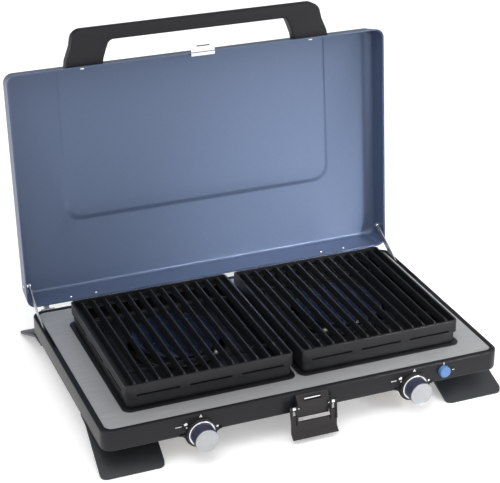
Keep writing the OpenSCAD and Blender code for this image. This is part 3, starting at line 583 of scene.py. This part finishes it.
ring = on_axis(lathe("knob_ring_right_look", [(3, 0), (16.4, 0), (17.0, 0.5), (17.0, 1.1), (16.3, 1.5), (16.3, 1.9),
                                              (16.6, 2.1), (16.3, 2.4), (3, 2.4), (3, 0)]), knob_x, ring_y, tap_z)
depth = 15.7
grip = lathe("grip", [(3, 0), (knob_r - 0.4, 0), (knob_r, 0.4), (knob_r, depth - 0.8), (knob_r - 0.8, depth),
                      (3, depth), (3, 0)], 120)
flutes = []
for i in range(30):
    f = prism("flute", [Vector((a / 1000, b / 1000, 0.0012)) for a, b in arc(knob_r + 0.25, 0, 0.75, 0, 315, 7)],
              Vector((0, 0, (depth - 3.2) / 1000)))
    flutes.append(move(f, Matrix.Rotation(math.tau * i / 30, 4, "Z")))
grip = combine(grip, join("tool", flutes))
grip = on_axis(grip, knob_x, ring_y - 2.4, tap_z)
grip.name = grip.data.name = "knob_grip_right_look"
face = on_axis(lathe("knob_cap_right_look", [(0.01, 0), (14.6, 0), (15.0, 0.3), (15.0, 0.9), (14.6, 1.4), (14.0, 1.5),
                                             (13.4, 1.1), (12.8, 1.0), (6, 1.2), (0.01, 1.3)]),
               knob_x, front - knob_out + 1.5, tap_z)
for o, m, s, n in ((ring, bright, "bright_steel", "knob_ring"), (grip, knob_plastic, "knob_plastic", "knob_grip"),
                   (face, knob_face, "knob_face", "knob_cap")):
    other = twin(o, n + "_left_look", Matrix.Translation((-2 * knob_x / 1000, 0, 0)))
    piece(o, m, "knob_r", s, n + "_right")
    piece(other, m, "knob_l", s, n + "_left")

# ---------------------------------------------------------------- igniter
# A blue moulded push-button with a slightly dished top. It slides in a hole in the case front
# and presses the piezo unit behind it.
button_plastic = surface("button_look", (0.075, 0.17, 0.38), 0.32, grain=0.05, scale=100, coat=0.2)
dress(button_plastic, "button_plastic")
dress(surface("igniter_look", (0.75, 0.74, 0.68), 0.4, grain=0.04, scale=100), "igniter_plastic")
button = on_axis(lathe("igniter_button_look", [(0.01, 0), (7.6, 0), (7.6, 18.2), (7.2, 19), (6.2, 19.4), (4.2, 19.1),
                                               (0.01, 19.0)]), 188, front + 13, 48.5)
piece(button, button_plastic, "button", "button_plastic", "igniter_button")

# ---------------------------------------------------------------- latch
# The catch plate is a bent steel tongue with a slot for the lid's hook. The lever hangs from two
# short pins in its cheeks: channel arms, a plain panel and a flared lip to pull.
latch_paint = surface("latch_paint_look", (0.014, 0.012, 0.0125), 0.38, grain=0.1, scale=150, bump=0.15, specular=0.35)
catch_w, latch_y, latch_z, lever_w = 43.0, -175.0, 45.0, 62.0
catch = bar("latch_plate_look", [(front, 60), (front, 57), (latch_y + 2.2, 51), (latch_y + 2.2, 31), (latch_y, 31),
                                 (latch_y, 53), (front - 2.5, 60)], -catch_w / 2, catch_w / 2)
cheeks = [bar("cheek", [(front, 55), (front, 37), (latch_y - 1.5, 41), (latch_y - 1.5, 49)], x, x + 2)
          for x in (-catch_w / 2, catch_w / 2 - 2)]
for cheek in cheeks:
    combine(catch, cheek, "UNION")
combine(catch, slab("tool", [(-11.5, -174.4), (11.5, -174.4), (11.5, -169), (-11.5, -169)], 47, 70))
soften(catch, 0.6, 3, 30)
for s in (-1, 1):
    combine(catch, bar("tool", [(latch_y + 1.6 * y, latch_z + 1.6 * z) for y, z in arc(0, 0, 1, 0, 330, 11)],
                       s * catch_w / 2 - 3, s * catch_w / 2 + 3))
piece(catch, latch_paint, "case", "case_paint", "latch_plate")

strike = slab("latch_strike", [(-11.2, -172.2), (11.2, -172.2), (11.2, -169.2), (-11.2, -169.2)], 51.8, 55.8)
soften(strike, 0.5, 2)
piece(strike, bright, "case", "bright_steel")

sill, low, arm_y = 27.0, 5.5, latch_y - 1.2
lip_y = front - 21
profile = [(arm_y - 2, latch_z + 4), (arm_y, latch_z + 4), (arm_y - 0.6, sill), (arm_y - 1.6, low + 5.6),
           (lip_y + 1.4, low), (lip_y, low + 0.8), (arm_y - 3.6, low + 7.4), (arm_y - 2.8, sill)]
lever = bar("latch_lever_look", profile, -lever_w / 2, lever_w / 2)
for s in (-1, 1):
    for x in (22.1, lever_w / 2 - 1.8):
        ear = bar("ear", arc(latch_y, latch_z, 4, -20, 200, 12) + [(arm_y - 5, sill - 4), (arm_y - 2, sill - 4)],
                  s * x, s * (x + 1.8))
        combine(lever, ear, "UNION")
combine(lever, bar("tool", [(-200, sill), (-160, sill), (-160, 70), (-200, 70)], -22.1, 22.1))
for s in (-1, 1):
    x = (22.1 + lever_w / 2) / 2
    combine(lever, bar("tool", [(-200, sill + 9), (-160, sill + 9), (-160, 70), (-200, 70)], s * x - 2.65, s * x + 2.65))
soften(lever, 0.5, 2, 30)
piece(lever, latch_paint, "lever", "case_paint", "latch_lever")

# ---------------------------------------------------------------- lid
# One deep-drawn sheet in metallic blue-grey paint: sloping walls, round edges, a hemmed rim and
# a shallow pressed field; it stands open a few degrees past upright.
lid_paint = surface("lid_paint_look", (0.092, 0.126, 0.209), 0.42, metal=0.40, grain=0.03, scale=400, bump=0.03)
dress(lid_paint, "lid_paint")
lid_w, lid_d, lid_h, lid_z = 545.0, 326.5, 40.4, 61.5
hinge = at(0, 168.3, 57.6)
lid_mid = 162.8 - lid_d / 2
lid_front = 162.8 - lid_d
opened = (Matrix.Translation(hinge) @ Matrix.Rotation(math.radians(-95.7), 4, "X") @ Matrix.Translation(-hinge))


def lid_form(name, t, low):
    """The lid's outside, or its inside when shrunk by a thickness."""
    w, d, r = lid_w - 2 * t, lid_d - 2 * t, 11
    top = lid_z + lid_h - t
    w1, d1 = w - 2 * 0.06 * (lid_h - r), d - 2 * 0.15 * (lid_h - r)
    rows = [level(w, d, low, w, d), level(w, d, lid_z, w, d), level(w1, d1, top - r, w, d)]
    for i in range(1, 10):
        a = math.radians(10 * i)
        cut = 2 * r * (1 - math.cos(a))
        rows.append(level(w1 - cut * 0.94, d1 - cut * 0.35, top - r + r * math.sin(a), w, d))
    return cap_below(tray(name, round_box(w, d, 13 - t, 10, 0, lid_mid), rows))


def cap_below(o):
    """Closes a tray's open foot."""
    wake(o)
    bpy.ops.object.mode_set(mode="EDIT")
    bpy.ops.mesh.select_all(action="DESELECT")
    bpy.ops.mesh.select_non_manifold()
    bpy.ops.mesh.edge_face_add()
    return outward(o)


field_h, field_back, field_w, field_slope = 2.9, 102.0, 400.0, 8.5


def lid_field(name, t):
    """The pressed field with its gently sloping edge: it grows shallower and runs out at the front wall."""
    w, d = field_w + 2 * t, lid_d - field_back + 60 + 2 * t
    mid = lid_front - 60 + d / 2 - t
    w0, d0 = w - 2 * field_slope, d - 2 * field_slope
    base = lid_z + lid_h - field_h - t
    rows = [level(w0, d0, base, w0, d0)]
    for i in range(1, 9):
        u = i / 8
        rise = u * u * (3 - 2 * u)
        rows.append(level(w0 + 2 * field_slope * u, d0 + 2 * field_slope * u, base + field_h * rise, w0, d0))
    rows.append(level(w, d, base + 20, w0, d0))
    o = cap_below(tray(name, round_box(w0, d0, 20 + t, 12, 0, mid), rows))
    turn = at(0, lid_mid + lid_d / 2 - field_back, base)
    return move(o, Matrix.Translation(turn) @ Matrix.Rotation(math.radians(-0.45), 4, "X") @ Matrix.Translation(-turn))


lid = lid_form("lid_look", 0, lid_z)
combine(lid, lid_field("tool", 0))
inside = lid_form("inside", 1, lid_z - 6)
combine(inside, lid_field("tool", 1))
combine(lid, inside)
hem = tray("hem", round_box(lid_w - 1.0, lid_d - 1.0, 12.5, 10, 0, lid_mid),
           [level(lid_w - 1, lid_d - 1, lid_z + 0.8, lid_w - 1, lid_d - 1),
            level(lid_w - 1.4, lid_d - 1.9, lid_z + 4.0, lid_w - 1, lid_d - 1)], close=False)
modify(hem, "SOLIDIFY", thickness=0.0016, offset=-1)
soften(hem, 0.5, 2, 50)
lid = join("lid_look", [lid, hem])
move(lid, opened)
piece(lid, lid_paint, "lid", "lid_paint", "lid_shell", angle=25)

heads = []
for x in (-208, -172, 172, 208):
    bpy.ops.mesh.primitive_uv_sphere_add(segments=20, ring_count=10, radius=0.0022, location=at(x, 183, 63.6))
    bpy.ops.object.transform_apply(location=True, rotation=True, scale=True)
    heads.append(bpy.context.object)
piece(join("lid_rivets", heads), bright, "lid", "bright_steel")

# ---------------------------------------------------------------- handle
# A carry handle in dark grey plastic, screwed to the lid's front wall from inside: two broad
# legs that curve into a straight grip, all its edges well rounded.
handle_plastic = surface("handle_look", (0.0125, 0.013, 0.0155), 0.50, grain=0.08, scale=200, bump=0.3, specular=0.25)
dress(handle_plastic, "handle_plastic")
half_h = 190.0
outer = [(188.2, 6), (181.0, 24)] + arc(163.4, 30.5, 16.0, 22, 90, 9)
inner = arc(121.5, 20, 9.5, 90, 30, 5) + [(132.6, 18), (137.2, 5), (half_h - 51, 0)]
right_half = [(half_h, 0)] + outer
shape = (right_half + [(-x, y) for x, y in reversed(right_half)] + [(-x, y) for x, y in reversed(inner)] + inner)
handle = slab("handle_look", [(x, lid_front + 5 - y if y == 0 else lid_front - y) for x, y in shape], lid_z + 8.5, lid_z + 26.5)
soften(handle, 2.0, 4, 40)
combine(handle, bar("tool", [(lid_front - 0.05, lid_z), (lid_front + 8.95, lid_z + 60), (lid_front + 60, lid_z + 60),
                             (lid_front + 60, lid_z)], -300, 300))
move(handle, opened)
piece(handle, handle_plastic, "lid", "handle_plastic", "handle")
